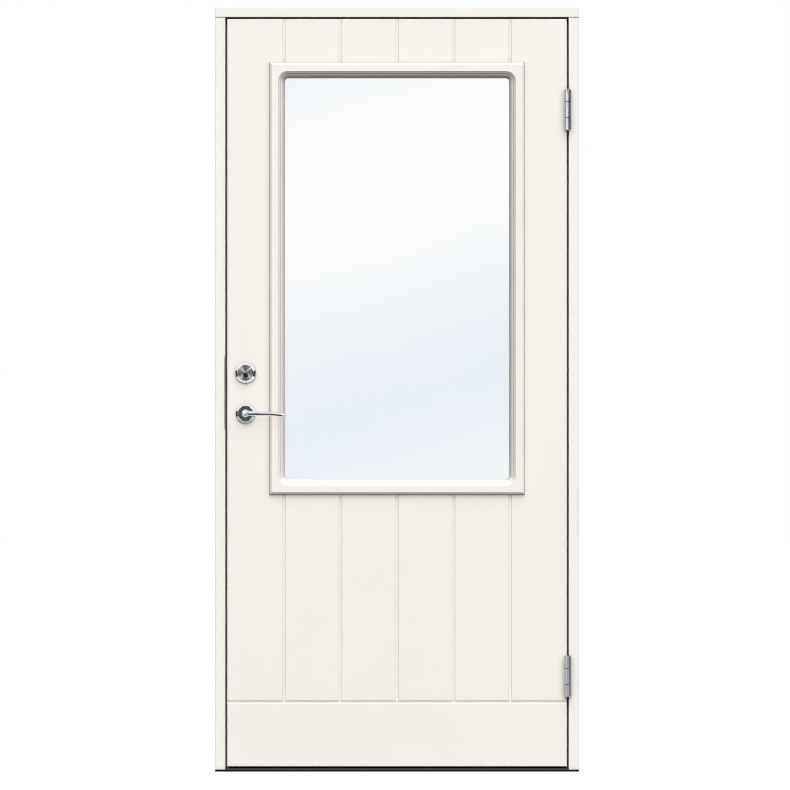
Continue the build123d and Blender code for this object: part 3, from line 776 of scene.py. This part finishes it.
# %% Slanting strips for the cylinder
STRIP_Y, STRIP_HALF, STRIP_REACH = -5.0, 0.15, (1.3, 4.5)
bright_strip = glow_finish("bright_strip", 12.0)
for name, side in (("left_strip", -1), ("right_strip", 1)):
    run = Vector((side, 0, 1)).normalized()
    half = Vector((1, 0, -side)).normalized() * STRIP_HALF
    near, far = (LOCK_SPOT + run * reach + Vector((0, STRIP_Y, 0)) for reach in STRIP_REACH)
    studio_card(name, [near - half, near + half, far + half, far - half], bright_strip)
print("slanting strips at:", STRIP_Y, "m")

# %% Tall strip for the hinges
STRIP_LEFT, STRIP_RIGHT, STRIP_TOP = (-7.4, -3.4), (-4.2, -7.2), 6
tall_strip = glow_finish("tall_strip", 1.5)
studio_card("hinge_strip", [(*STRIP_LEFT, 0), (*STRIP_RIGHT, 0),
                            (*STRIP_RIGHT, STRIP_TOP), (*STRIP_LEFT, STRIP_TOP)], tall_strip)
print("tall strip:", STRIP_TOP, "m")

# %% [markdown]
# ## A sky for the glass
# A flat pane seen square on mirrors only what stands beside the camera. A pale card there, with a
# soft slanting wave from blue to white, gives the pane the look of a bright sky. The card shows
# only to rays that have been mirrored at least once, so nobody sees it through the glass.

# %% Sky finish
SKY_WAVE, SKY_SLANT, SKY_CREST = 1.55, 0.2865, 1.783
SKY_BLUE, SKY_WHITE = (0.19, 0.3, 0.52), (1.52, 1.24, 1.0)
sky_finish, tree, shader = start_finish(
    "sky_card", Base_Color=(0, 0, 0, 1), Specular_IOR_Level=0.0, Emission_Strength=1.0)
place = add(tree, "SeparateXYZ", Vector=add(tree, "TexCoord").outputs["Object"])
slanted = math_node(tree, "MULTIPLY", place.outputs["X"], -SKY_SLANT)
height = math_node(tree, "ADD", place.outputs["Z"], slanted)
from_crest = math_node(tree, "SUBTRACT", height, SKY_CREST)
turn = math_node(tree, "MULTIPLY", from_crest, 2 * math.pi / SKY_WAVE)
swing = math_node(tree, "ADD", math_node(tree, "COSINE", turn, 0), 1.0)
wave = math_node(tree, "MULTIPLY", swing, 0.5)
ramp = add(tree, "ValToRGB", Fac=wave)
ramp.color_ramp.elements[0].color = (*SKY_BLUE, 1)
ramp.color_ramp.elements[1].color = (*SKY_WHITE, 1)
tree.links.new(ramp.outputs["Color"], shader.inputs["Emission Color"])
print("sky wave:", SKY_WAVE, "m")

# %% Sky card
SKY_Y, SKY_LEFT, SKY_RIGHT, SKY_LOW, SKY_HIGH = -8.0, -0.388, 0.41, 0.7, 2.2
mirrors = add(tree, "LightPath").outputs["Glossy Depth"]
mirrored_once = math_node(tree, "GREATER_THAN", mirrors, 0.5)
gate = add(tree, "MixShader", Fac=mirrored_once)
tree.links.new(add(tree, "BsdfTransparent").outputs[0], gate.inputs[1])
tree.links.new(shader.outputs[0], gate.inputs[2])
tree.links.new(gate.outputs[0], tree.nodes["Material Output"].inputs["Surface"])
sky = studio_card("sky_card", [(SKY_LEFT, SKY_Y, SKY_LOW), (SKY_RIGHT, SKY_Y, SKY_LOW),
                               (SKY_RIGHT, SKY_Y, SKY_HIGH), (SKY_LEFT, SKY_Y, SKY_HIGH)],
                  sky_finish)
sky.visible_transmission = True
print("sky card:", sky.name)

# %% [markdown]
# ## Camera
# The door is seen square on with no perspective to speak of, so the camera stands thirty metres
# away behind a very long lens. The picture is square and 2.15 m wide at the door's face. A narrow
# pixel filter keeps the thin gaps crisp.

# %% Camera
VIEW_WIDTH, STAND_OFF, SENSOR = 2.1496, 30.0, 36.0
AIM_X, AIM_Z, FACE_Y = -0.0054, 1.0249, -52.5 * MM
camera_data = bpy.data.cameras.new("square_on_camera")
camera_data.sensor_width = SENSOR
camera_data.lens = SENSOR * STAND_OFF / VIEW_WIDTH
camera_data.clip_end = 200.0
bpy.context.scene.cycles.filter_width = 1.0
camera = bpy.data.objects.new("square_on_camera", camera_data)
camera.location = (AIM_X, FACE_Y - STAND_OFF, AIM_Z)
camera.rotation_euler = (math.radians(90), 0, 0)
bpy.context.scene.collection.objects.link(camera)
bpy.context.scene.camera = camera
bpy.context.scene.view_settings.view_transform = "Standard"
print("lens:", round(camera_data.lens, 1), "mm")
